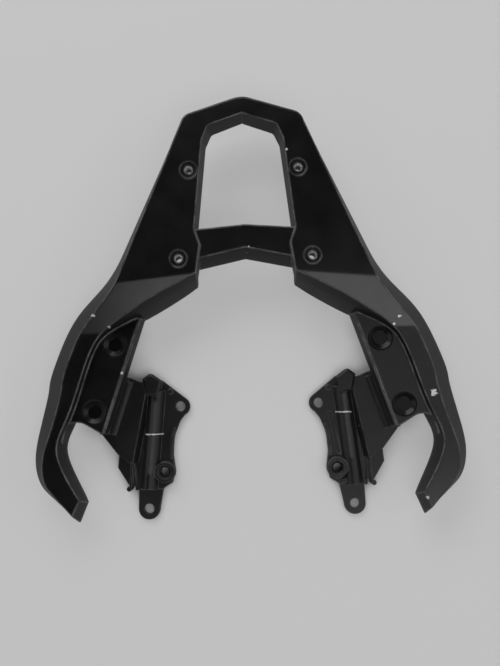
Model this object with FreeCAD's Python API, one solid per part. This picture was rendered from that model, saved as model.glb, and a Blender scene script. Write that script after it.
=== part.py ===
import FreeCAD, Part
import math
import os

from FreeCAD import Vector

# Rear carrier of a motorbike: a die-cast deck that carries a top case and runs forward
# into two grab handles, with a cast frame bracket bolted under each side.
# Millimetres. +X to the right, +Y to the rear of the bike, +Z up, deck level.
# Plan points are drawn for the right half, with y = 0 near the rear bracket bolts. The
# finished parts are moved so that the origin is at the bottom, in the middle of the carrier.

# Heights, from the underside of the brackets
DECK_TOP = 58.0
DECK_DEPTH = 26.0
ARM_TOP = 45.0
ARM_FALL = 0.03
ARM_BOTTOM = 18.0
FLANK_FOOT = 24.0
FLANK_SHOULDER = 46.0
INNER_FOOT = 34.0
RAMP_SLOPE = 0.31
SKIRT_RISE = 20.0
PANEL_TOP = 36.0
PANEL_THICKNESS = 12.0

# Walls and ribs of the hollow casting
TOP_WALL = 5.0
SIDE_WALL = 4.5
RIB_WIDTH = 3.0
RIB_HEIGHT = 11.0
RIB_PLACES = (184.0, 120.0, 36.0, -4.0, -38.0, -94.0, -118.0)

# Roundings of the casting, and the most that the flank's may be for each millimetre of upright wall
FLANK_ROUND = 12.0
FLANK_ROUND_SHARE = 2.6
REAR_CORNER_ROUND = 12.0
REAR_MIDDLE_ROUND = 25.0
WINDOW_ROUND = 6.0

# Deck, right half
DECK_REAR = 222.2
REAR_CORNER = (52.5, 205.5)
SIDE_END = (103.2, 85.0)
CREASE_OUTER = (116.0, 55.0)
CREASE_INNER = (44.0, 62.0)

# Window in the deck: right half of its rim, and its draft
WINDOW_REAR = 206.0
WINDOW_CORNER = (31.0, 195.5)
WINDOW_SIDE = (36.5, 183.0)
WINDOW_END = (45.0, 101.0)
WINDOW_FRONT = 104.6
WINDOW_DRAFT = 0.12
WINDOW_DEPTH = 21.5
WINDOW_RELIEF = 6.0

# Crossbar between the window and the open front
CROSSBAR_DROP = 3.0
CROSSBAR_FRONT = 86.0
CROSSBAR_END = (40.5, 77.0)
CROSSBAR_STEP = (40.3, 87.0)
CROSSBAR_LEAN = 0.55

# Threaded holes for the top case plate
DECK_HOLES = ((49.0, 155.0), (59.5, 75.0))
DECK_HOLE_RADIUS = 3.4
DECK_BOSS_RADIUS = 9.0
DECK_BOSS_LENGTH = 20.0
DECK_PAD_RADIUS = 7.8
DECK_PAD_DEPTH = 0.4

# Bracket bolts and their seats in the panels
BOLT_SEATS = {"rear": (120.0, 1.5), "front": (139.0, -58.5)}
SEAT_RADIUS = 10.2
SEAT_DEPTH = 8.0
BOLT_RADIUS = 3.95
BOLT_CLEARANCE = 0.5
THREAD_CLEARANCE = 0.05
BOLT_OVERHANG = 2.0
HEX_FLATS = 13.0
HEAD_HEIGHT = 5.2

# Dished caps that close the seats
CAP_FLANGE_RADIUS = 11.3
CAP_RIM_RADIUS = 10.4
CAP_RIM_HEIGHT = 1.0
CAP_FLOOR_RADIUS = 6.3
CAP_FLOOR_DROP = 1.4
CAP_FLOOR_THICKNESS = 1.0
CAP_CLEARANCE = 0.2

# Panel between arm and bracket, with a lip along its inner edge
PANEL_INNER_REAR = (95.5, 24.5)
PANEL_INNER_FRONT = (130.5, -80.0)
PANEL_CORNER_ROUND = 4.0
THUMB_CROWN = (150.5, -67.8)
THUMB_CROWN_ROUND = 14.0
THUMB_END = (163.8, -67.3)
THUMB_END_ROUND = 8.0
PANEL_UNDER_ARM = ((168.5, -86.0), (172.0, -78.0), (157.0, -41.0), (138.0, 4.0), (112.0, 27.0))
PANEL_LEAN = 0.13
LIP_WIDTH = 2.6
LIP_HEIGHT = 1.2
LIP_BEVEL = 0.6
LIP_END = 3.5

# Frame bracket, right side
PAD_THICKNESS = 6.0
PAD_POINTS = ((124.0, 9.5), (130.0, -2.0), (150.5, -58.0), (147.0, -68.0))
RISER_WIDTH = 7.0
RISER_REAR = -27.5
RISER_FRONT = -79.0
RISER_ROUND = 6.0
PLATE_TOP = 14.0
PLATE_BOTTOM = 4.0
PLATE_SLOPE = 5.0
PLATE_REAR = ((94.0, -33.0), (103.0, -31.0))
PLATE_FRONT = ((122.5, -98.0), (113.5, -105.5), (108.8, -106.5))
FLAP_TOP = 8.5
FLAP_POINTS = (
    (116.0, -99.0), (122.2, -99.0), (123.3, -110.5), (113.8, -126.0), (106.0, -128.0), (108.0, -104.0),
)
FIN_WIDTH = 2.4
FIN_TOP = 13.0
FIN_ENDS = ((109.6, -104.0), (111.3, -130.0))
NUB = (113.0, -130.2)
NUB_RADIUS = 2.3
NUB_TOP = 10.5
HOOD_TOP = 15.6
HOOD_EDGE = 14.4
HOOD_POINTS = ((80.6, -31.8), (90.8, -24.6), (92.6, -24.8), (99.0, -29.5), (95.5, -44.5), (85.0, -45.5))
HOOD_CROWN = ((82.6, -32.4), (90.6, -26.8), (92.4, -26.9), (96.8, -30.2), (94.0, -43.0), (86.2, -43.8))
SADDLE_REAR = (86.3, -40.0)
SADDLE_FRONT = (95.3, -131.0)
SADDLE_RADIUS = 8.0
SADDLE_BORE = 5.0
FLANGE_THICKNESS = 6.0
FLANGE_OUTLINE = (
    (94.0, -27.0), (81.0, -31.0), (59.4, -48.3), (60.5, -63.0, 4.0), (65.6, -69.5, 14.0),
    (70.9, -83.0, 30.0), (72.2, -100.0, 12.0), (70.4, -113.5), (73.2, -125.5), (82.0, -131.0),
    (107.5, -131.8), (107.5, -104.0),
)
RIM_WIDTH = 1.8
RIM_HEIGHT = 1.0
RIM_POINTS = ((70.0, -75.0), (72.9, -84.0), (74.0, -99.0), (73.6, -104.0))
UPPER_LUG = (64.6, -55.4)
UPPER_LUG_RADIUS = 8.8
LUG_HOLE_RADIUS = 4.5
BUMP = (74.0, -41.5)
BUMP_RADIUS = 2.6
BUMP_HEIGHT = 1.6
BOSS = (79.7, -115.6)
BOSS_RADIUS = 9.5
BOSS_HEIGHT = 13.0
BOSS_HOLE_RADIUS = 4.3
BOSS_COUNTERSINK = 2.0
LOWER_LUG = (95.2, -149.0)
LOWER_LUG_RADIUS = 9.9
LOWER_LUG_THICKNESS = 5.0
LUG_NECK = ((81.5, -130.0), (104.5, -130.0))

# Details of the right bracket alone
GROOVE_ENDS = ((74.6, -65.5), (82.0, -101.5))
GROOVE_WIDTH = 3.4
GROOVE_DEPTH = 1.4
STUD = (86.4, -127.4)
STUD_RADIUS = 2.6
STUD_TOP = 9.5

# Length past any edge, for cutters
FAR = 400.0

# Slack in telling whether an edge is level
LEVEL_SLACK = 0.01

# Crest outline of the right half of the casting. Each point has its lean, the sideways
# movement of the wall for each millimetre down from the crest, and the height of its foot,
# below which the wall is upright.
RAMP_END_INNER = ((136.0, 4.0), (-0.24, -0.16), INNER_FOOT)
RAMP_END_OUTER = ((157.0, -3.0), (0.82, -0.06), FLANK_FOOT)
TIP_INNER = ((152.3, -136.3), (-0.22, -0.20), FLANK_FOOT)
TIP_FRONT = ((159.2, -150.2), (-0.20, -0.44), FLANK_FOOT)
HOOK_OUTER = ((180.0, -126.5), (0.28, -0.24), FLANK_FOOT)
DECK_INNER = (CREASE_INNER, (0.02, -0.38), INNER_FOOT)
DECK_SIDE = (SIDE_END, (0.33, 0.05), FLANK_FOOT)
CREST = {
    "crossbar": [
        ((0.0, CROSSBAR_FRONT), (0.0, -CROSSBAR_LEAN), INNER_FOOT),
        (CROSSBAR_END, (0.10, -CROSSBAR_LEAN), INNER_FOOT),
        DECK_INNER,
    ],
    "inner ramp": [
        DECK_INNER,
        ((75.0, 47.0), (-0.29, -0.46), INNER_FOOT),
        ((109.0, 27.0), (-0.36, -0.45), INNER_FOOT),
        ((125.5, 15.5), (-0.29, -0.29), INNER_FOOT),
        RAMP_END_INNER,
    ],
    "inner arm": [
        RAMP_END_INNER,
        ((145.5, -17.0), (-0.24, -0.10), INNER_FOOT),
        ((163.5, -66.0), (-0.24, -0.04), FLANK_FOOT),
        ((172.0, -91.0), (-0.24, 0.03), FLANK_FOOT),
        ((168.5, -106.0), (-0.24, 0.02), FLANK_FOOT),
        TIP_INNER,
    ],
    "tip": [
        TIP_INNER,
        TIP_FRONT,
        HOOK_OUTER,
    ],
    "outer arm": [
        HOOK_OUTER,
        ((186.0, -108.0), (0.55, 0.06), FLANK_FOOT),
        ((177.5, -74.0), (0.80, -0.06), FLANK_FOOT),
        ((167.5, -38.0), (0.84, -0.06), FLANK_FOOT),
        RAMP_END_OUTER,
    ],
    "outer ramp": [
        RAMP_END_OUTER,
        ((137.0, 28.0), (0.74, 0.06), FLANK_FOOT),
        (CREASE_OUTER, (0.52, 0.02), FLANK_FOOT),
        DECK_SIDE,
    ],
    "deck": [
        DECK_SIDE,
        (REAR_CORNER, (0.15, 0.10), FLANK_FOOT),
        ((0.0, DECK_REAR), (0.0, 0.14), FLANK_FOOT),
    ],
}


def crease_axes():
    """Unit vectors along the deck's front crease and forward across it."""
    along = Vector(CREASE_OUTER[0] - CREASE_INNER[0], CREASE_OUTER[1] - CREASE_INNER[1], 0)
    along.normalize()
    return along, Vector(along.y, -along.x, 0)


def ramp_length():
    """Plan length of the ramp from the deck down to the arm."""
    return (DECK_TOP - ARM_TOP) / RAMP_SLOPE


def top_height(point):
    """Height of the top surface above a plan point."""
    _, forward = crease_axes()
    ahead = forward.dot(Vector(point[0] - CREASE_INNER[0], point[1] - CREASE_INNER[1], 0))
    if ahead <= 0:
        return DECK_TOP
    return max(DECK_TOP - RAMP_SLOPE * ahead, ARM_TOP - ARM_FALL * (ahead - ramp_length()))


def level_points(run, z, inset):
    """Wall points of one run of the crest outline at height z, moved inwards by inset."""
    points = []
    for (x, y), (lean_x, lean_y), foot in CREST[run]:
        down = top_height((x, y)) - max(z, foot) - inset / math.hypot(lean_x, lean_y)
        points.append(Vector(x + lean_x * down, y + lean_y * down, z))
    return points


def line(start, end):
    return Part.LineSegment(start, end).toShape()


def lines(points):
    return [line(start, end) for start, end in zip(points, points[1:])]


def spline(points, first=None, last=None):
    """Smooth edge through points, with the direction of its ends where given."""
    free = Vector(0, 0, 1)
    tangents = [first or free] + [free] * (len(points) - 2) + [last or free]
    flags = [first is not None] + [False] * (len(points) - 2) + [last is not None]
    curve = Part.BSplineCurve()
    curve.interpolate(Points=points, Tangents=tangents, TangentFlags=flags)
    return curve.toShape()


def corner_arc(before, corner, after, radius):
    """Start, middle and end of the arc that rounds a corner."""
    back = (before - corner).normalize()
    ahead = (after - corner).normalize()
    half = back.getAngle(ahead) / 2
    reach = radius / math.tan(half)
    centre = corner + (back + ahead).normalize() * (radius / math.sin(half))
    middle = centre + (corner - centre).normalize() * radius
    return corner + back * reach, middle, corner + ahead * reach


def rear_edges(side, corner, middle):
    """Deck edges from the side round the rear corner to the middle, where they end square to x."""
    start, bulge, end = corner_arc(side, corner, middle, REAR_CORNER_ROUND)
    fall = math.atan2(middle.y - corner.y, corner.x)
    centre = Vector(0, middle.y - REAR_MIDDLE_ROUND / math.cos(fall), middle.z)
    crown = []
    for angle in (fall, fall / 2, 0.0):
        crown.append(centre + Vector(math.sin(angle), math.cos(angle), 0) * REAR_MIDDLE_ROUND)
    return [
        line(side, start),
        Part.Arc(start, bulge, end).toShape(),
        line(end, crown[0]),
        Part.Arc(*crown).toShape(),
    ], crown[-1]


def level_wire(z, inset, whole):
    """Outline of the right half, or its deck and ramp, at height z: smooth, or straight if inset."""
    runs = {run: level_points(run, z, inset) for run in CREST}
    inner_turn = runs["inner arm"][1] - runs["inner ramp"][-2]
    outer_turn = runs["outer ramp"][1] - runs["outer arm"][-2]
    hook = runs["tip"][2] - runs["tip"][1]
    side = runs["deck"][1] - runs["deck"][0]
    ends = {
        "inner ramp": (None, inner_turn),
        "inner arm": (inner_turn, None),
        "outer arm": (hook, outer_turn),
        "outer ramp": (outer_turn, side),
    }
    curves = {}
    for run, (first, last) in ends.items():
        curves[run] = lines(runs[run]) if inset else [spline(runs[run], first, last)]
    edges = lines(runs["crossbar"]) + curves["inner ramp"]
    if whole:
        edges += curves["inner arm"] + lines(runs["tip"]) + curves["outer arm"]
    else:
        edges.append(line(runs["inner ramp"][-1], runs["outer ramp"][0]))
    edges += curves["outer ramp"]
    rear, rear_middle = rear_edges(*runs["deck"])
    edges += rear
    edges.append(line(rear_middle, runs["crossbar"][0]))
    return Part.Wire(edges)


def outline(points, z):
    """Closed plan outline at height z through points (x, y) or (x, y, corner radius)."""
    corners = [Vector(point[0], point[1], z) for point in points]
    bends = []
    for index, point in enumerate(points):
        corner = corners[index]
        if len(point) > 2:
            after = corners[(index + 1) % len(points)]
            bends.append(corner_arc(corners[index - 1], corner, after, point[2]))
        else:
            bends.append((corner, corner))
    edges = []
    for index, bend in enumerate(bends):
        edges.append(line(bends[index - 1][-1], bend[0]))
        if len(bend) > 2:
            edges.append(Part.Arc(*bend).toShape())
    return Part.Wire(edges)


def prism(points, low, high):
    """Upright solid on a plan outline."""
    return Part.Face(outline(points, low)).extrude(Vector(0, 0, high - low))


def tapered(low_points, low, high_points, high):
    """Solid between two plan outlines at two heights."""
    return Part.makeLoft([outline(low_points, low), outline(high_points, high)], True, True)


def bar(start, end, width, low, high):
    """Upright bar with round ends along a plan line."""
    run = Vector(end[0] - start[0], end[1] - start[1], 0)
    across = Vector(-run.y, run.x, 0).normalize() * (width / 2)
    corners = [(start[0] + across.x, start[1] + across.y), (start[0] - across.x, start[1] - across.y)]
    corners += [(end[0] - across.x, end[1] - across.y), (end[0] + across.x, end[1] + across.y)]
    ends = [cylinder(start, width / 2, low, high), cylinder(end, width / 2, low, high)]
    return prism(corners, low, high).fuse(ends)


def cylinder(centre, radius, low, high):
    return Part.makeCylinder(radius, high - low, Vector(centre[0], centre[1], low))


def across_crease(profile):
    """Solid of a profile of (distance ahead of the crease, height), wider than the casting."""
    along, forward = crease_axes()
    start = Vector(CREASE_INNER[0], CREASE_INNER[1], 0) - along * FAR
    corners = [start + forward * ahead + Vector(0, 0, z) for ahead, z in profile]
    return Part.Face(Part.makePolygon(corners + corners[:1])).extrude(along * 2 * FAR)


def above_top(drop):
    """Everything above the deck, ramp and arm, lowered by drop."""
    ramp = ramp_length()
    front = ARM_TOP - ARM_FALL * (FAR - ramp)
    tops = [(-FAR, DECK_TOP), (0.0, DECK_TOP), (ramp, ARM_TOP), (FAR, front)]
    return across_crease([(ahead, z - drop) for ahead, z in tops] + [(FAR, FAR), (-FAR, FAR)])


def below_skirt():
    """Everything below the skirt, whose lower edge rises from the arms to the deck."""
    deck_bottom = DECK_TOP - DECK_DEPTH
    bottoms = [(-FAR, deck_bottom), (-SKIRT_RISE, deck_bottom)]
    bottoms += [(ramp_length(), ARM_BOTTOM), (FAR, ARM_BOTTOM)]
    return across_crease(bottoms + [(FAR, -FAR), (-FAR, -FAR)])


def half_body(inset, drop, bottom):
    """Right half of the casting's outer form, or of the room inside it when inset."""
    lower_levels = (bottom, FLANK_FOOT, FLANK_SHOULDER)
    lower = Part.makeLoft([level_wire(z, inset, True) for z in lower_levels], True, True)
    upper_levels = (FLANK_SHOULDER, DECK_TOP)
    upper = Part.makeLoft([level_wire(z, inset, False) for z in upper_levels], True, True)
    return lower.fuse(upper).cut(above_top(drop))


def normals_at(body, edge):
    """Outward normals of the faces that meet at the middle of an edge."""
    middle = edge.valueAt((edge.FirstParameter + edge.LastParameter) / 2)
    normals = []
    for face in body.ancestorsOfType(edge, Part.Face):
        normals.append(face.normalAt(*face.Surface.parameter(middle)))
    return normals


def level_edges(body, z):
    """Edges of a solid that lie at height z."""
    found = []
    for edge in body.Edges:
        if max(abs(edge.BoundBox.ZMin - z), abs(edge.BoundBox.ZMax - z)) < LEVEL_SLACK:
            found.append(edge)
    return found


def rounded_half():
    """Right half of the casting's outer form with its flank rounded."""
    body = half_body(0.0, 0.0, ARM_BOTTOM).cut(below_skirt())
    feet = [edge for edge in level_edges(body, FLANK_FOOT) if min(n.x for n in normals_at(body, edge)) > 0]
    upright = FLANK_FOOT - ARM_BOTTOM
    return body.makeFillet(min(FLANK_ROUND, FLANK_ROUND_SHARE * upright), feet)


def both_sides(right):
    """Symmetric plan outline from its right half, whose first and last points are in the middle."""
    return right + [(-point[0],) + tuple(point[1:]) for point in right[-2:0:-1]]


def window(extra, low, high):
    """Window opening with drafted walls, widened all round by extra."""
    def rim(z):
        draft = WINDOW_DRAFT * (DECK_TOP - z) - extra
        right = [
            (0.0, WINDOW_REAR - draft),
            (WINDOW_CORNER[0] - draft, WINDOW_CORNER[1] - draft, WINDOW_ROUND),
            (WINDOW_SIDE[0] - draft, WINDOW_SIDE[1] - draft / 2, 2 * WINDOW_ROUND),
            (WINDOW_END[0] - draft, WINDOW_END[1] + draft),
            (0.0, WINDOW_FRONT + draft),
        ]
        return both_sides(right)
    return tapered(rim(low), low, rim(high), high)


def crossbar_recess():
    """Room above the crossbar, which lies lower than the deck."""
    right = [
        (0.0, WINDOW_FRONT + CROSSBAR_DROP),
        (WINDOW_END[0], WINDOW_END[1] + CROSSBAR_DROP),
        WINDOW_END,
        CROSSBAR_STEP,
        CREASE_INNER,
        (CREASE_INNER[0], 0.0),
        (0.0, 0.0),
    ]
    return prism(both_sides(right), DECK_TOP - CROSSBAR_DROP, FAR)


def inner_edge(y, offset):
    """Point of the panel's straight inner edge at y, moved out under the panel by offset."""
    (x0, y0), (x1, y1) = PANEL_INNER_REAR, PANEL_INNER_FRONT
    share = (y - y0) / (y1 - y0)
    return (x0 + (x1 - x0) * share + offset, y)


def panel():
    """Right panel with its lip: the flat seat that the bracket hangs from."""
    bottom = PANEL_TOP - PANEL_THICKNESS
    spread = PANEL_LEAN * PANEL_THICKNESS
    rest = [THUMB_CROWN + (THUMB_CROWN_ROUND,), THUMB_END + (THUMB_END_ROUND,)] + list(PANEL_UNDER_ARM)
    top = [PANEL_INNER_REAR, PANEL_INNER_FRONT + (PANEL_CORNER_ROUND,)] + rest
    foot = [inner_edge(PANEL_INNER_REAR[1], -spread)]
    foot += [inner_edge(PANEL_INNER_FRONT[1], -spread) + (PANEL_CORNER_ROUND,)] + rest
    body = tapered(foot, bottom, top, PANEL_TOP)
    lip_end = PANEL_INNER_FRONT[1] + LIP_END

    def lip(inset):
        return [
            inner_edge(PANEL_INNER_REAR[1], inset),
            inner_edge(lip_end, inset),
            inner_edge(lip_end, LIP_WIDTH - inset),
            inner_edge(PANEL_INNER_REAR[1], LIP_WIDTH - inset),
        ]
    lip_body = prism(lip(0.0), PANEL_TOP - LIP_HEIGHT, PANEL_TOP)
    return body.fuse([lip_body, tapered(lip(0.0), PANEL_TOP, lip(LIP_BEVEL), PANEL_TOP + LIP_HEIGHT)])


def ribs():
    """Cross ribs under the deck and arms, as slabs that reach past the walls."""
    slabs = []
    for y in RIB_PLACES:
        low = top_height((CREASE_OUTER[0], y)) - TOP_WALL - RIB_HEIGHT
        slabs.append(Part.makeBox(FAR, RIB_WIDTH, FAR, Vector(0, y - RIB_WIDTH / 2, low)))
    return slabs


def hollow():
    """Room inside the right half of the casting, open below."""
    room = half_body(SIDE_WALL, TOP_WALL, ARM_BOTTOM - SIDE_WALL)
    room = room.cut(window(SIDE_WALL, ARM_BOTTOM - SIDE_WALL, DECK_TOP))
    crossbar_room = DECK_TOP - CROSSBAR_DROP - TOP_WALL
    wall_inside = CREASE_INNER[0] - 2 * SIDE_WALL
    wall_outside = CREASE_INNER[0] + SIDE_WALL
    walls = [
        (0.0, WINDOW_FRONT),
        (WINDOW_END[0] + SIDE_WALL, WINDOW_FRONT),
        (wall_outside, 0.0),
        (0.0, 0.0),
    ]
    room = room.cut(prism(both_sides(walls), crossbar_room, FAR))
    side_wall = [(wall_inside, WINDOW_FRONT)] + walls[1:3] + [(wall_inside, 0.0)]
    room = room.cut(prism(side_wall, 0.0, FAR))
    for centre in DECK_HOLES:
        room = room.cut(cylinder(centre, DECK_BOSS_RADIUS, DECK_TOP - DECK_BOSS_LENGTH, DECK_TOP))
    return room.cut(ribs())


def window_relief():
    """Room below the walls round the window and below the crossbar, which end higher than the skirt."""
    low_edge = DECK_TOP - WINDOW_DEPTH
    crossbar = [(0.0, WINDOW_FRONT), WINDOW_END, CREASE_INNER, (CREASE_INNER[0], 0.0), (0.0, 0.0)]
    return window(WINDOW_RELIEF, 0.0, low_edge).fuse(prism(both_sides(crossbar), 0.0, low_edge))


def carrier_casting():
    """Deck, crossbar, arms and handles: one die casting."""
    half = rounded_half().fuse(panel())
    half = half.cut(hollow()).cut(window_relief())
    for centre in DECK_HOLES:
        half = half.cut(cylinder(centre, DECK_HOLE_RADIUS, 0.0, FAR))
        half = half.cut(cylinder(centre, DECK_PAD_RADIUS, DECK_TOP - DECK_PAD_DEPTH, FAR))
    for centre in BOLT_SEATS.values():
        half = half.cut(cylinder(centre, SEAT_RADIUS, PANEL_TOP - SEAT_DEPTH, FAR))
        half = half.cut(cylinder(centre, BOLT_RADIUS + BOLT_CLEARANCE, 0.0, FAR))
    half = half.cut(window(0.0, 0.0, FAR)).cut(crossbar_recess())
    return half.fuse(mirror_across(half))


def saddle_axes():
    """Start of the bracket's saddle, its direction and length, and the direction across it."""
    start = Vector(SADDLE_REAR[0], SADDLE_REAR[1], 0)
    along = Vector(SADDLE_FRONT[0], SADDLE_FRONT[1], 0) - start
    length = along.Length
    along.normalize()
    return start, along, length, Vector(-along.y, along.x, 0)


def saddle(radius):
    """Half-round ridge on upright sides, along the line where the frame tube lies."""
    start, along, length, across = saddle_axes()
    spring = Vector(0, 0, FLANGE_THICKNESS)
    left = start - across * radius
    right = start + across * radius
    crown = start + spring + Vector(0, 0, radius)
    edges = [
        line(left, left + spring),
        Part.Arc(left + spring, crown, right + spring).toShape(),
        line(right + spring, right),
        line(right, left),
    ]
    return Part.Face(Part.Wire(edges)).extrude(along * length)


def bracket_plate():
    """Pad under the panel, riser and the plate that slopes down to the saddle."""
    pad_top = PANEL_TOP - PANEL_THICKNESS
    pad_bottom = pad_top - PAD_THICKNESS
    spread = -PANEL_LEAN * PANEL_THICKNESS
    rear, front = PAD_POINTS[0][1], PAD_POINTS[-1][1]
    pad = prism([inner_edge(front, 0.0), inner_edge(rear, 0.0)] + list(PAD_POINTS), pad_bottom, pad_top)
    riser = prism(
        [
            inner_edge(RISER_REAR, spread),
            inner_edge(RISER_FRONT, spread),
            inner_edge(RISER_FRONT, RISER_WIDTH),
            inner_edge(RISER_REAR, RISER_WIDTH),
        ],
        PLATE_BOTTOM,
        pad_top,
    )
    edge = list(PLATE_REAR)
    edge.append(inner_edge(RISER_REAR, spread))
    edge.append(inner_edge(RISER_REAR, RISER_WIDTH))
    edge.append(inner_edge(RISER_FRONT, RISER_WIDTH))
    edge += PLATE_FRONT
    foot = list(edge)
    for index in (0, -1):
        foot[index] = (edge[index][0] - PLATE_SLOPE, edge[index][1])
    body = tapered(foot, PLATE_BOTTOM, edge, PLATE_TOP).fuse(riser)
    cove_rear = inner_edge(PLATE_REAR[-1][1], spread)
    corner = cove(cove_rear, inner_edge(RISER_FRONT, spread), PLATE_TOP, RISER_ROUND)
    return body.fuse([corner, pad])


def cove(start, end, z, radius):
    """Hollow-faced strip along a plan line, on its right, between a floor at height z and a wall."""
    along = Vector(end[0] - start[0], end[1] - start[1], 0)
    out = Vector(along.y, -along.x, 0).normalize() * radius
    up = Vector(0, 0, radius)
    corner = Vector(start[0], start[1], z)
    middle = corner + (out + up) * (1 - math.sqrt(0.5))
    hollow_face = Part.Arc(corner + out, middle, corner + up).toShape()
    section = Part.Wire([line(corner, corner + out), hollow_face, line(corner + up, corner)])
    return Part.Face(section).extrude(along)


def right_bracket_frame():
    """Frame bracket without the details that only one side has."""
    body = bracket_plate()
    neck_rear, neck_front = LUG_NECK
    lug = prism(
        [
            neck_rear,
            (LOWER_LUG[0] - LOWER_LUG_RADIUS, LOWER_LUG[1]),
            (LOWER_LUG[0] + LOWER_LUG_RADIUS, LOWER_LUG[1]),
            neck_front,
        ],
        0.0,
        LOWER_LUG_THICKNESS,
    )
    hood = prism(HOOD_POINTS, 0.0, HOOD_EDGE).fuse(tapered(HOOD_POINTS, HOOD_EDGE, HOOD_CROWN, HOOD_TOP))
    countersink = Part.makeCone(
        BOSS_HOLE_RADIUS, BOSS_HOLE_RADIUS + BOSS_COUNTERSINK, BOSS_COUNTERSINK,
        Vector(BOSS[0], BOSS[1], BOSS_HEIGHT - BOSS_COUNTERSINK),
    )
    bump = cylinder(BUMP, BUMP_RADIUS, 0.0, FLANGE_THICKNESS + BUMP_HEIGHT)
    rim = [(x - RIM_WIDTH / 2, y) for x, y in RIM_POINTS]
    rim += [(x + RIM_WIDTH / 2, y) for x, y in reversed(RIM_POINTS)]
    solid = body.fuse([
        prism(FLANGE_OUTLINE, 0.0, FLANGE_THICKNESS),
        prism(FLAP_POINTS, 0.0, FLAP_TOP),
        bar(*FIN_ENDS, FIN_WIDTH, 0.0, FIN_TOP),
        cylinder(NUB, NUB_RADIUS, 0.0, NUB_TOP),
        hood,
        saddle(SADDLE_RADIUS),
        cylinder(UPPER_LUG, UPPER_LUG_RADIUS, 0.0, FLANGE_THICKNESS),
        cylinder(BOSS, BOSS_RADIUS, 0.0, BOSS_HEIGHT),
        lug,
        cylinder(LOWER_LUG, LOWER_LUG_RADIUS, 0.0, LOWER_LUG_THICKNESS),
        bump,
        prism(rim, 0.0, FLANGE_THICKNESS + RIM_HEIGHT),
    ])
    solid = solid.cut(saddle(SADDLE_BORE))
    solid = solid.cut(cylinder(UPPER_LUG, LUG_HOLE_RADIUS, 0.0, FAR))
    solid = solid.cut(cylinder(LOWER_LUG, LUG_HOLE_RADIUS, 0.0, FAR))
    solid = solid.cut(cylinder(BOSS, BOSS_HOLE_RADIUS, 0.0, FAR)).cut(countersink)
    for centre in BOLT_SEATS.values():
        solid = solid.cut(cylinder(centre, BOLT_RADIUS + THREAD_CLEARANCE, 0.0, FAR))
    return solid.removeSplitter()


def right_bracket(frame):
    """Right frame bracket: the common form with a grooved flange and a small stud."""
    groove = bar(*GROOVE_ENDS, GROOVE_WIDTH, FLANGE_THICKNESS - GROOVE_DEPTH, FAR)
    stud = cylinder(STUD, STUD_RADIUS, 0.0, STUD_TOP)
    return frame.cut(groove).fuse(stud).removeSplitter()


def bolt(centre):
    """Hex bolt, seated in the panel and screwed through the bracket's pad."""
    seat = PANEL_TOP - SEAT_DEPTH
    end = PANEL_TOP - PANEL_THICKNESS - PAD_THICKNESS - BOLT_OVERHANG
    corner_radius = HEX_FLATS / math.sqrt(3)
    corners = []
    for index in range(6):
        angle = math.radians(60 * index)
        reach = Vector(math.cos(angle), math.sin(angle), 0) * corner_radius
        corners.append((centre[0] + reach.x, centre[1] + reach.y))
    head = prism(corners, seat, seat + HEAD_HEIGHT)
    return head.fuse(cylinder(centre, BOLT_RADIUS, end, seat)).removeSplitter()


def cap(centre):
    """Dished cap that closes a bolt's seat, with its flange on the panel."""
    floor = PANEL_TOP - CAP_FLOOR_DROP
    plug_radius = SEAT_RADIUS - CAP_CLEARANCE
    profile = [
        (0, floor - CAP_FLOOR_THICKNESS),
        (plug_radius, floor - CAP_FLOOR_THICKNESS),
        (plug_radius, PANEL_TOP),
        (CAP_FLANGE_RADIUS, PANEL_TOP),
        (CAP_RIM_RADIUS, PANEL_TOP + CAP_RIM_HEIGHT),
        (CAP_FLOOR_RADIUS, floor),
        (0, floor),
    ]
    corners = [Vector(radius, 0, z) for radius, z in profile]
    solid = Part.Face(Part.makePolygon(corners + corners[:1])).revolve(Vector(), Vector(0, 0, 1), 360)
    solid.translate(Vector(centre[0], centre[1], 0))
    return solid


def mirror_across(shape):
    return shape.mirror(Vector(0, 0, 0), Vector(1, 0, 0))


def build_nodes():
    """All pieces of the carrier by name, in the drawing's frame."""
    frame = right_bracket_frame()
    nodes = {
        "carrier_casting": carrier_casting(),
        "right_bracket": right_bracket(frame),
        "left_bracket": mirror_across(frame),
    }
    caps = []
    for place, centre in BOLT_SEATS.items():
        nodes["right_" + place + "_bolt"] = bolt(centre)
        nodes["left_" + place + "_bolt"] = mirror_across(bolt(centre))
        caps += [cap(centre), mirror_across(cap(centre))]
    nodes["bolt_caps"] = Part.makeCompound(caps)
    return nodes


def main():
    nodes = build_nodes()
    whole = Part.makeCompound(list(nodes.values())).optimalBoundingBox(False)
    shift = Vector(0, -(whole.YMin + whole.YMax) / 2, -whole.ZMin)
    os.makedirs("parts", exist_ok=True)
    for name, shape in nodes.items():
        shape.translate(shift)
        shape.exportStep("parts/" + name + ".step")
        print(name, shape.isValid(), len(shape.Solids), len(shape.Faces), round(shape.Volume))
    print("origin shift", shift)


main()
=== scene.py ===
import math
from dataclasses import dataclass

import bpy
from mathutils import Matrix, Vector


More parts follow.
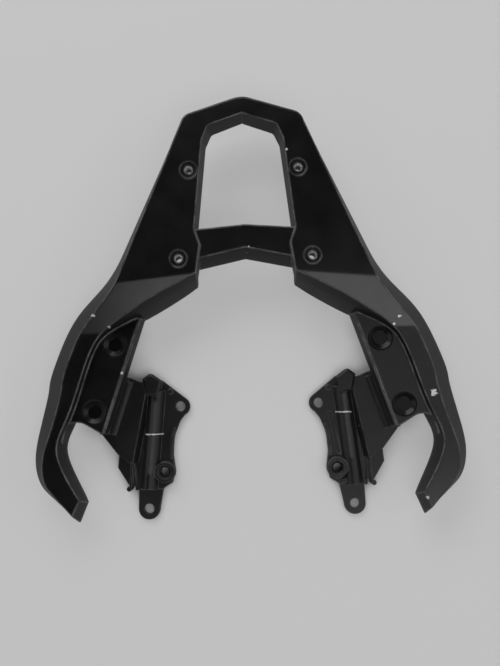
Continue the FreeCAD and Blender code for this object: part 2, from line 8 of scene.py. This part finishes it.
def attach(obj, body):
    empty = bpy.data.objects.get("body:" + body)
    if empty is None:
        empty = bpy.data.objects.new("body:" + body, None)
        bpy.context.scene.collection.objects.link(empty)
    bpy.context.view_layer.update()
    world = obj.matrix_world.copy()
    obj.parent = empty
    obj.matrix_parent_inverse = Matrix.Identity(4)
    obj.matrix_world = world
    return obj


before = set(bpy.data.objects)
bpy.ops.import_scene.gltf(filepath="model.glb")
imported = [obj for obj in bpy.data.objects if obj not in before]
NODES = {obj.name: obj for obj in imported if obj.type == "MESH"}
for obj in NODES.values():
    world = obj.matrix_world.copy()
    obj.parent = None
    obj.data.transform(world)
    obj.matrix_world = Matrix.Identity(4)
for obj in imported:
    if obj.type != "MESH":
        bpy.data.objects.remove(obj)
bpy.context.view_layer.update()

# Camera: image width and focal length in pixels, sensor width in millimetres, then the point it
# looks at, its distance and its angles
IMAGE_WIDTH = 500.0
FOCAL_PIXELS = 800.0
SENSOR_WIDTH = 36.0
AIM = Vector((0.0022, -0.0229, 0.025))
DISTANCE = 0.735
TILT = math.radians(5.0)
ROLL = math.radians(1.55)

# Floor: what camera, mirrors and glass see of it is lifted to a pale tone, but less close to the
# object. The lift sets in between two shares of open space within the contact's reach.
FLOOR_SIZE = 6.0
FLOOR_COLOUR = (0.58, 0.58, 0.58, 1.0)
FLOOR_ROUGHNESS = 0.9
FLOOR_LIFT = 0.55
FLOOR_LIFT_COLOUR = (0.62, 0.62, 0.62, 1.0)
CONTACT_REACH = 0.03
OPEN_SHARES = (0.35, 0.85)

# Surroundings: two colours and the heights in a unit sphere where they are reached, the strength,
# and the share of it that is left to the front, with the depths between which it falls
HORIZON = (0.95, 0.96, 0.97, 1.0)
HORIZON_HEIGHT = 0.12
ZENITH = (0.03, 0.03, 0.031, 1.0)
ZENITH_HEIGHT = 0.78
WORLD_STRENGTH = 0.95
FRONT_SHARE = 0.45
FRONT_DEPTHS = (-0.6, -0.1)

# Lamps all round, with the space overhead left dark: place, target, width and length, and watts
CENTRE = (0.0, 0.0, 0.0)
RIGHT_OF_CENTRE = (0.1, 0.0, 0.0)
LAMPS = {
    "rear_softbox": ((-0.5, 1.45, 1.4), CENTRE, (1.8, 0.9), 20.0),
    "front_softbox": ((0.25, -0.82, 1.6), CENTRE, (1.08, 0.6), 6.0),
    "right_softbox": ((0.66, -0.05, 1.7), RIGHT_OF_CENTRE, (0.55, 1.4), 1.8),
    "right_strip": ((1.3, -0.1, 1.15), CENTRE, (1.5, 0.24), 2.6),
    "left_strip": ((-1.3, -0.1, 1.15), CENTRE, (1.5, 0.24), 1.8),
}

# Threaded holes of the deck: the deck's height, half the spacing and the place along the deck of
# each pair, then the bore's radius, the thread's depth, pitch, length, distance below the deck and
# steps in a turn, and half the width of its ridge as a share of the pitch
DECK_TOP = 0.058
HOLE_PAIRS = ((0.0490, 0.1221), (0.0595, 0.0421))
HOLES = tuple((side * half, y) for half, y in HOLE_PAIRS for side in (1, -1))
HOLE_RADIUS = 0.0034
THREAD_DEPTH = 0.0005
THREAD_PITCH = 0.00125
THREAD_LENGTH = 0.018
THREAD_START = 0.0012
THREAD_STEPS = 20
RIDGE_HALF = 0.4

# Cut metal of the threads: its darkest and brightest colour and its range of roughness
CUT_DARK = (0.42, 0.41, 0.39, 1.0)
CUT_BRIGHT = (0.80, 0.79, 0.77, 1.0)
CUT_ROUGHNESS = (0.22, 0.42)

# Colours of paint, dust, the painted highlight along the bracket tubes and the metal under the paint
CASTING_BLACK = (0.0034, 0.0034, 0.0037)
BRACKET_BLACK = (0.0042, 0.0042, 0.0045)
CAP_BLACK = (0.0032, 0.0032, 0.0034)
DUST = (0.085, 0.080, 0.074, 1.0)
# Painted highlight: a lighter grey for the crests of the bracket tubes
TUBE_HIGHLIGHT_GREY = (0.060, 0.060, 0.063, 1.0)
BARE_METAL = (0.60, 0.59, 0.57, 1.0)
BARE_METALLIC = 0.4
PAINT_SPECULAR = 0.38
CAP_SPECULAR = 0.20

# Noises over the surface: scale and detail
MOTTLE = (38.0, 7.0)
LINT = (240.0, 8.0)
FINE = (420.0, 3.0)
EDGE_WEAR = (90.0, 5.0)
GRAIN = (900.0, 2.0)
STAIN = (700.0, 4.0)
NOISE_MIDDLE = 0.5

# Ranges of those noises over which a change takes place, and the shares of the paint's colour
# where the mottle is low and high
MOTTLE_RANGE = (0.3, 0.7)
MOTTLE_DARKER = 0.75
MOTTLE_LIGHTER = 1.35
GLOSS_RANGE = (0.25, 0.75)
LINT_RANGE = (0.60, 0.78)
HIGHLIGHT_RANGE = (0.3, 0.6)
WEAR_RANGE = (0.34, 0.62)
STAIN_RANGE = (0.3, 0.7)

# Painted highlights along the crests of the bracket tubes: the share at their middle, and the part of it
# that the fine noise leaves
HIGHLIGHT_SHARE = 0.85
HIGHLIGHT_LEAST = 0.6

# Edges lightened towards bare metal, partly as wear and partly as a painted highlight line: cosines of the
# turn from the face to its rounded edge, where the lightening is none and full, and the part of it that
# its noise leaves, which keeps a continuous painted highlight
EDGE_COSINES = (0.985, 0.86)
WEAR_AND_HIGHLIGHT_LEAST = 0.25
EDGE_SAMPLES = 6

# Roughness: the paint's spread either way, what bare metal adds, and what steep faces add,
# with the levels of a face between which that fades out
GLOSS_SPREAD = 0.03
BARE_ROUGHER = 0.2
SIDE_ROUGHER = 0.34
SIDE_LEVELS = (0.60, 0.90)
PEEL_DEPTH = 0.0002

# Chips and scratches: distances are in radii or half widths, made ragged by so much noise.
# Chips reach further in height, where their place is less sure.
CHIP_FLATTEN = (1.0, 1.0, 0.35)
PLAN_ONLY = (1.0, 1.0, 0.0)
FAR_OFF = 9.0
RAGGED = 2.2
MARK_EDGE = (0.75, 1.0)

# Chips: place and radius
CASTING_CHIPS = (
    ((-0.1370, -0.0057, 0.0465), 0.0019),
    ((-0.1340, -0.0072, 0.0460), 0.0010),
    ((-0.1382, -0.0085, 0.0455), 0.0009),
    ((-0.0917, 0.0073, 0.0480), 0.0012),
    ((-0.1237, -0.0156, 0.0450), 0.0014),
    ((-0.1141, -0.0568, 0.0370), 0.0013),
    ((-0.1279, -0.1121, 0.0330), 0.0013),
    ((0.0027, 0.0516, 0.0510), 0.0014),
    ((0.0012, 0.0478, 0.0440), 0.0012),
    ((0.0109, 0.0475, 0.0440), 0.0012),
    ((0.0395, 0.1385, 0.0580), 0.0012),
    ((0.1360, -0.0131, 0.0460), 0.0015),
    ((0.1311, -0.0200, 0.0450), 0.0012),
    ((0.1646, -0.0822, 0.0425), 0.0030),
    ((0.1854, -0.1361, 0.0340), 0.0016),
    ((0.1553, -0.1742, 0.0370), 0.0018),
    ((0.1571, -0.1765, 0.0360), 0.0012),
    ((0.1643, -0.1791, 0.0300), 0.0017),
    ((0.1222, -0.1031, 0.0310), 0.0013),
)
BRACKET_CHIPS = (
    ((0.1004, -0.1108, 0.0140), 0.0012),
)

# Scratches across the brackets, and painted highlights laid as lighter grey along the crests of their
# tubes: ends in plan and half width
BRACKET_SCRATCHES = (
    ((-0.0966, -0.1133, 0.0), (-0.0810, -0.1134, 0.0), 0.0007),
    ((0.0806, -0.0972, 0.0), (0.0939, -0.0975, 0.0), 0.0006),
)
BRACKET_TUBE_HIGHLIGHTS = (
    ((-0.0875, -0.0850, 0.0), (-0.0935, -0.1480, 0.0), 0.0034),
    ((0.0868, -0.0820, 0.0), (0.0925, -0.1380, 0.0), 0.0030),
)

# Shading: edges that bend by more than the first angle, in degrees, are sharp. At the height of
# the deck, within some slack, the second angle is enough. Points this close are joined first.
EDGE_ANGLE = 24.0
DECK_EDGE_ANGLE = 10.0
DECK_SLACK = 0.0005
JOIN_DISTANCE = 0.000001


@dataclass
class Finish:
    """How a piece is painted, the marks of use on it, and the highlights painted into its colour."""

    colour: tuple
    roughness: float
    peel: float
    edge_round: float
    specular: float = PAINT_SPECULAR
    edge_wear_and_highlight: float = 0.0
    dust: float = 0.0
    chips: tuple = ()
    scratches: tuple = ()
    painted_highlights: tuple = ()


CASTING_FINISH = Finish(
    CASTING_BLACK, roughness=0.24, peel=0.08, edge_round=0.0028, edge_wear_and_highlight=0.35, dust=0.04, chips=CASTING_CHIPS,
)
BRACKET_FINISH = Finish(
    BRACKET_BLACK, roughness=0.33, peel=0.25, edge_round=0.0015, edge_wear_and_highlight=0.18, dust=0.15,
    chips=BRACKET_CHIPS, scratches=BRACKET_SCRATCHES, painted_highlights=BRACKET_TUBE_HIGHLIGHTS,
)
BOLT_FINISH = Finish(CAP_BLACK, roughness=0.40, peel=0.15, edge_round=0.0006)
CAP_FINISH = Finish(CAP_BLACK, roughness=0.20, peel=0.05, edge_round=0.0008, specular=CAP_SPECULAR)


class Graph:
    """A node tree with short ways to add nodes and join them."""

    # Places of the colour sockets on a mix node, after those for numbers and vectors
    MIX_FIRST = 6
    MIX_SECOND = 7
    MIX_RESULT = 2

    def __init__(self, tree):
        self.tree = tree

    def join(self, output, socket):
        self.tree.links.new(output, socket)

    def put(self, socket, value):
        """Sets a socket to a constant, or joins it to an output."""
        if isinstance(value, bpy.types.NodeSocket):
            self.join(value, socket)
        else:
            socket.default_value = value

    def add(self, kind, **values):
        node = self.tree.nodes.new(kind)
        for name, value in values.items():
            self.put(node.inputs[name.replace("_", " ")], value)
        return node

    def maths(self, operation, *values):
        node = self.tree.nodes.new("ShaderNodeMath")
        node.operation = operation
        for socket, value in zip(node.inputs, values):
            self.put(socket, value)
        return node.outputs["Value"]

    def vector(self, operation, first, second):
        """Vector maths on two vectors. The result is the node's Vector or Value output."""
        node = self.tree.nodes.new("ShaderNodeVectorMath")
        node.operation = operation
        self.put(node.inputs[0], first)
        self.put(node.inputs[1], second)
        return node

    def scaled(self, vector, factor):
        node = self.tree.nodes.new("ShaderNodeVectorMath")
        node.operation = "SCALE"
        self.put(node.inputs[0], vector)
        self.put(node.inputs["Scale"], factor)
        return node.outputs["Vector"]

    def noise(self, place, scale, detail):
        return self.add("ShaderNodeTexNoise", Vector=place, Scale=scale, Detail=detail).outputs["Fac"]

    def span(self, value, source, low, high):
        """Takes a value that runs over the source range to one that runs from low to high."""
        start, end = source
        node = self.add(
            "ShaderNodeMapRange", Value=value, From_Min=start, From_Max=end, To_Min=low, To_Max=high,
        )
        return node.outputs["Result"]

    def ramp(self, value, source, low, high):
        """Takes a value that runs over the source range to a colour between two."""
        node = self.add("ShaderNodeValToRGB", Fac=value)
        for element, position, colour in zip(node.color_ramp.elements, source, (low, high)):
            element.position = position
            element.color = colour
        return node.outputs["Color"]

    def mix(self, share, first, second):
        """Mixes two colours."""
        node = self.tree.nodes.new("ShaderNodeMix")
        node.data_type = "RGBA"
        self.put(node.inputs["Factor"], share)
        self.put(node.inputs[self.MIX_FIRST], first)
        self.put(node.inputs[self.MIX_SECOND], second)
        return node.outputs[self.MIX_RESULT]

    def choose(self, share, first, second):
        """Mixes two shaders."""
        node = self.tree.nodes.new("ShaderNodeMixShader")
        self.join(share, node.inputs["Fac"])
        self.join(first, node.inputs[1])
        self.join(second, node.inputs[2])
        return node.outputs["Shader"]


def make_camera():
    """Camera above the carrier, a little to the front, as the photograph was taken."""
    back = Vector((0.0, -math.sin(TILT), math.cos(TILT)))
    level_up = Vector((0.0, math.cos(TILT), math.sin(TILT)))
    level_right = Vector((1.0, 0.0, 0.0))
    right = level_right * math.cos(ROLL) - level_up * math.sin(ROLL)
    up = level_up * math.cos(ROLL) + level_right * math.sin(ROLL)
    data = bpy.data.cameras.new("camera")
    data.sensor_fit = "HORIZONTAL"
    data.sensor_width = SENSOR_WIDTH
    data.lens = SENSOR_WIDTH * FOCAL_PIXELS / IMAGE_WIDTH
    camera = bpy.data.objects.new("camera", data)
    turn = Matrix((right, up, back)).transposed().to_4x4()
    camera.matrix_world = Matrix.Translation(AIM + back * DISTANCE) @ turn
    bpy.context.scene.collection.objects.link(camera)
    bpy.context.scene.camera = camera


def make_world():
    """Pale surroundings at the horizon that grow dark overhead and weaker to the front."""
    world = bpy.data.worlds.new("surroundings")
    bpy.context.scene.world = world
    world.use_nodes = True
    graph = Graph(world.node_tree)
    direction = graph.add("ShaderNodeTexCoord").outputs["Generated"]
    split = graph.add("ShaderNodeSeparateXYZ", Vector=direction).outputs
    colour = graph.ramp(split["Z"], (HORIZON_HEIGHT, ZENITH_HEIGHT), HORIZON, ZENITH)
    strength = graph.span(split["Y"], FRONT_DEPTHS, FRONT_SHARE * WORLD_STRENGTH, WORLD_STRENGTH)
    background = world.node_tree.nodes["Background"]
    graph.join(colour, background.inputs["Color"])
    graph.join(strength, background.inputs["Strength"])


def make_lamp(name, place, target, size, power):
    """Rectangular soft lamp that faces its target."""
    data = bpy.data.lights.new(name, "AREA")
    data.shape = "RECTANGLE"
    data.size, data.size_y = size
    data.energy = power
    lamp = bpy.data.objects.new(name, data)
    lamp.location = place
    lamp.rotation_euler = (Vector(target) - Vector(place)).to_track_quat("-Z", "Y").to_euler()
    bpy.context.scene.collection.objects.link(lamp)


def new_material(name):
    """A material with its main shader, and the graph to build on."""
    material = bpy.data.materials.new(name)
    material.use_nodes = True
    return material, material.node_tree.nodes["Principled BSDF"], Graph(material.node_tree)


def floor_material():
    """Pale matt sheet that is clear when seen from below."""
    material, shader, graph = new_material("pale_sheet")
    shader.inputs["Base Color"].default_value = FLOOR_COLOUR
    shader.inputs["Roughness"].default_value = FLOOR_ROUGHNESS
    path = graph.add("ShaderNodeLightPath").outputs
    mirrored = graph.maths("MAXIMUM", path["Is Glossy Ray"], path["Is Transmission Ray"])
    seen = graph.maths("MAXIMUM", path["Is Camera Ray"], mirrored)
    openness = graph.add("ShaderNodeAmbientOcclusion", Distance=CONTACT_REACH).outputs["AO"]
    share = graph.maths("MULTIPLY", seen, graph.span(openness, OPEN_SHARES, 0.0, FLOOR_LIFT))
    lift = graph.add("ShaderNodeEmission", Color=FLOOR_LIFT_COLOUR).outputs["Emission"]
    above = graph.choose(share, shader.outputs["BSDF"], lift)
    from_below = graph.add("ShaderNodeNewGeometry").outputs["Backfacing"]
    clear = graph.add("ShaderNodeBsdfTransparent").outputs["BSDF"]
    surface = graph.choose(from_below, above, clear)
    graph.join(surface, material.node_tree.nodes["Material Output"].inputs["Surface"])
    return material


def make_floor():
    """Level sheet under the object."""
    half = FLOOR_SIZE / 2
    corners = [(-half, -half, 0.0), (half, -half, 0.0), (half, half, 0.0), (-half, half, 0.0)]
    mesh = bpy.data.meshes.new("floor")
    mesh.from_pydata(corners, [], [(0, 1, 2, 3)])
    mesh.materials.append(floor_material())
    floor = bpy.data.objects.new("floor", mesh)
    bpy.context.scene.collection.objects.link(floor)


def from_line(graph, place, start, end, half_width):
    """Distance in plan from a line between two points, in half widths."""
    plan = graph.vector("MULTIPLY", place, PLAN_ONLY).outputs["Vector"]
    run = Vector(end) - Vector(start)
    offset = graph.vector("SUBTRACT", plan, start).outputs["Vector"]
    along = graph.vector("DOT_PRODUCT", offset, tuple(run / run.length_squared)).outputs["Value"]
    clamped = graph.maths("MAXIMUM", graph.maths("MINIMUM", along, 1.0), 0.0)
    foot = graph.scaled(tuple(run), clamped)
    away = graph.vector("DISTANCE", offset, foot).outputs["Value"]
    return graph.maths("DIVIDE", away, half_width)


def marks(graph, place, rough, chips, scratches):
    """Mask of chips and scratches, with ragged edges, 1 inside and 0 outside."""
    nearest = FAR_OFF
    flattened = graph.vector("MULTIPLY", place, CHIP_FLATTEN).outputs["Vector"]
    for (x, y, z), radius in chips:
        centre = (x, y, z * CHIP_FLATTEN[2])
        away = graph.vector("DISTANCE", flattened, centre).outputs["Value"]
        nearest = graph.maths("MINIMUM", graph.maths("DIVIDE", away, radius), nearest)
    for scratch in scratches:
        nearest = graph.maths("MINIMUM", from_line(graph, place, *scratch), nearest)
    wander = graph.maths("MULTIPLY", graph.maths("SUBTRACT", rough, NOISE_MIDDLE), RAGGED)
    return graph.span(graph.maths("ADD", nearest, wander), MARK_EDGE, 1.0, 0.0)


def tint(colour, factor):
    """A colour made darker or lighter, as an opaque one."""
    return tuple(factor * value for value in colour) + (1.0,)


def paint(name, finish):
    """Satin black paint: mottled, dusty, with orange peel, chips and scratches, edges lightened partly as
    wear and partly as a painted highlight line, and painted highlights along the bracket tubes.
    """
    material, shader, graph = new_material(name)
    shader.inputs["Specular IOR Level"].default_value = finish.specular
    place = graph.add("ShaderNodeTexCoord").outputs["Object"]
    face = graph.add("ShaderNodeNewGeometry").outputs["Normal"]
    mottle = graph.noise(place, *MOTTLE)
    fine = graph.noise(place, *FINE)

    darker = tint(finish.colour, MOTTLE_DARKER)
    lighter = tint(finish.colour, MOTTLE_LIGHTER)
    colour = graph.ramp(mottle, MOTTLE_RANGE, darker, lighter)
    lint = graph.span(graph.noise(place, *LINT), LINT_RANGE, 0.0, finish.dust)
    colour = graph.mix(lint, colour, DUST)
    # Painted highlight: lighter grey laid along the crest of each bracket tube
    for highlight in finish.painted_highlights:
        share = graph.span(from_line(graph, place, *highlight), (0.0, 1.0), HIGHLIGHT_SHARE, 0.0)
        share = graph.maths("MULTIPLY", share, graph.span(fine, HIGHLIGHT_RANGE, HIGHLIGHT_LEAST, 1.0))
        colour = graph.mix(share, colour, TUBE_HIGHLIGHT_GREY)

    rounded = graph.add("ShaderNodeBevel", Radius=finish.edge_round)
    rounded.samples = EDGE_SAMPLES
    turn = graph.vector("DOT_PRODUCT", rounded.outputs["Normal"], face).outputs["Value"]
    # Edges lightened partly as ragged wear and partly as a continuous painted highlight line; chips are
    # added to the same share
    patches = graph.span(graph.noise(place, *EDGE_WEAR), WEAR_RANGE, WEAR_AND_HIGHLIGHT_LEAST, 1.0)
    bare_and_edge_highlight = graph.maths("MULTIPLY", graph.span(turn, EDGE_COSINES, 0.0, finish.edge_wear_and_highlight), patches)
    if finish.chips or finish.scratches:
        bare_and_edge_highlight = graph.maths("MAXIMUM", bare_and_edge_highlight, marks(graph, place, fine, finish.chips, finish.scratches))
    graph.join(graph.mix(bare_and_edge_highlight, colour, BARE_METAL), shader.inputs["Base Color"])
    graph.join(graph.maths("MULTIPLY", bare_and_edge_highlight, BARE_METALLIC), shader.inputs["Metallic"])

    smoothest = finish.roughness - GLOSS_SPREAD
    roughest = finish.roughness + GLOSS_SPREAD
    roughness = graph.span(mottle, GLOSS_RANGE, smoothest, roughest)
    level = graph.add("ShaderNodeSeparateXYZ", Vector=face).outputs["Z"]
    roughness = graph.maths("ADD", roughness, graph.span(level, SIDE_LEVELS, SIDE_ROUGHER, 0.0))
    roughness = graph.maths("ADD", roughness, graph.maths("MULTIPLY", bare_and_edge_highlight, BARE_ROUGHER))
    graph.join(roughness, shader.inputs["Roughness"])

    height = graph.maths("SUBTRACT", graph.noise(place, *GRAIN), bare_and_edge_highlight)
    bump = graph.add("ShaderNodeBump", Strength=finish.peel, Distance=PEEL_DEPTH, Height=height)
    graph.join(rounded.outputs["Normal"], bump.inputs["Normal"])
    graph.join(bump.outputs["Normal"], shader.inputs["Normal"])
    return material


def cut_metal(name):
    """Cut aluminium with fine variation."""
    material, shader, graph = new_material(name)
    place = graph.add("ShaderNodeTexCoord").outputs["Object"]
    stain = graph.noise(place, *STAIN)
    graph.join(graph.ramp(stain, STAIN_RANGE, CUT_DARK, CUT_BRIGHT), shader.inputs["Base Color"])
    graph.join(graph.span(stain, STAIN_RANGE, *CUT_ROUGHNESS), shader.inputs["Roughness"])
    shader.inputs["Metallic"].default_value = BARE_METALLIC
    return material


def make_thread(name, centre, material):
    """Thread ridge of a deck hole: a two-faced bead wound down the bore."""
    top = DECK_TOP - THREAD_START
    profile = ((0.0, RIDGE_HALF), (THREAD_DEPTH, 0.0), (0.0, -RIDGE_HALF))
    points = []
    for index in range(int(THREAD_STEPS * THREAD_LENGTH / THREAD_PITCH) + 1):
        angle = 2 * math.pi * index / THREAD_STEPS
        z = top - THREAD_PITCH * index / THREAD_STEPS
        for depth, rise in profile:
            reach = HOLE_RADIUS - depth
            x = centre[0] + reach * math.cos(angle)
            y = centre[1] + reach * math.sin(angle)
            points.append((x, y, z + rise * THREAD_PITCH))
    row = len(profile)
    faces = []
    for here in range(0, len(points) - row, row):
        ahead = here + row
        faces.append((here, here + 1, ahead + 1, ahead))
        faces.append((here + 1, here + 2, ahead + 2, ahead + 1))
    mesh = bpy.data.meshes.new(name)
    mesh.from_pydata(points, [], faces)
    mesh.materials.append(material)
    thread = bpy.data.objects.new(name, mesh)
    bpy.context.scene.collection.objects.link(thread)
    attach(thread, "root")


def deck_level(graph):
    """Field that is 1 at the height of the deck."""
    place = graph.add("GeometryNodeInputPosition").outputs["Position"]
    height = graph.add("ShaderNodeSeparateXYZ", Vector=place).outputs["Z"]
    return graph.maths("GREATER_THAN", height, DECK_TOP - DECK_SLACK)


def smooth_group():
    """Modifier tree that joins the facets and shades them smooth, apart from the real edges."""
    tree = bpy.data.node_groups.new("smooth_by_angle", "GeometryNodeTree")
    tree.interface.new_socket("Geometry", in_out="INPUT", socket_type="NodeSocketGeometry")
    tree.interface.new_socket("Geometry", in_out="OUTPUT", socket_type="NodeSocketGeometry")
    graph = Graph(tree)
    shape = graph.add("NodeGroupInput").outputs["Geometry"]
    joined = graph.add("GeometryNodeMergeByDistance", Geometry=shape, Distance=JOIN_DISTANCE)
    faces = graph.add("GeometryNodeSetShadeSmooth", Geometry=joined.outputs["Geometry"])
    angle = graph.add("GeometryNodeInputMeshEdgeAngle").outputs["Unsigned Angle"]
    bent = graph.maths("GREATER_THAN", angle, math.radians(EDGE_ANGLE))
    crease = graph.maths("GREATER_THAN", angle, math.radians(DECK_EDGE_ANGLE))
    sharp = graph.maths("MAXIMUM", bent, graph.maths("MULTIPLY", crease, deck_level(graph)))
    edges = graph.add("GeometryNodeSetShadeSmooth", Geometry=faces.outputs["Geometry"], Selection=sharp)
    edges.domain = "EDGE"
    edges.inputs["Shade Smooth"].default_value = False
    end = graph.add("NodeGroupOutput")
    graph.join(edges.outputs["Geometry"], end.inputs["Geometry"])
    return tree


def dress(node, material, smoothing):
    """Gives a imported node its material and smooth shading."""
    shape = NODES[node]
    shape.data.materials.clear()
    shape.data.materials.append(material)
    modifier = shape.modifiers.new("smooth", "NODES")
    modifier.node_group = smoothing


def main():
    make_camera()
    make_floor()
    make_world()
    for name, values in LAMPS.items():
        make_lamp(name, *values)

    smoothing = smooth_group()
    dress("carrier_casting", paint("casting_paint", CASTING_FINISH), smoothing)
    dress("bolt_caps", paint("black_cap", CAP_FINISH), smoothing)
    bracket = paint("bracket_paint", BRACKET_FINISH)
    bolt = paint("black_bolt", BOLT_FINISH)
    for side in ("left", "right"):
        dress(side + "_bracket", bracket, smoothing)
        for place in ("rear", "front"):
            dress(side + "_" + place + "_bolt", bolt, smoothing)

    metal = cut_metal("cut_aluminium")
    for index, centre in enumerate(HOLES):
        make_thread("thread_" + str(index), centre, metal)


bpy.context.scene.view_settings.view_transform = "Standard"
main()
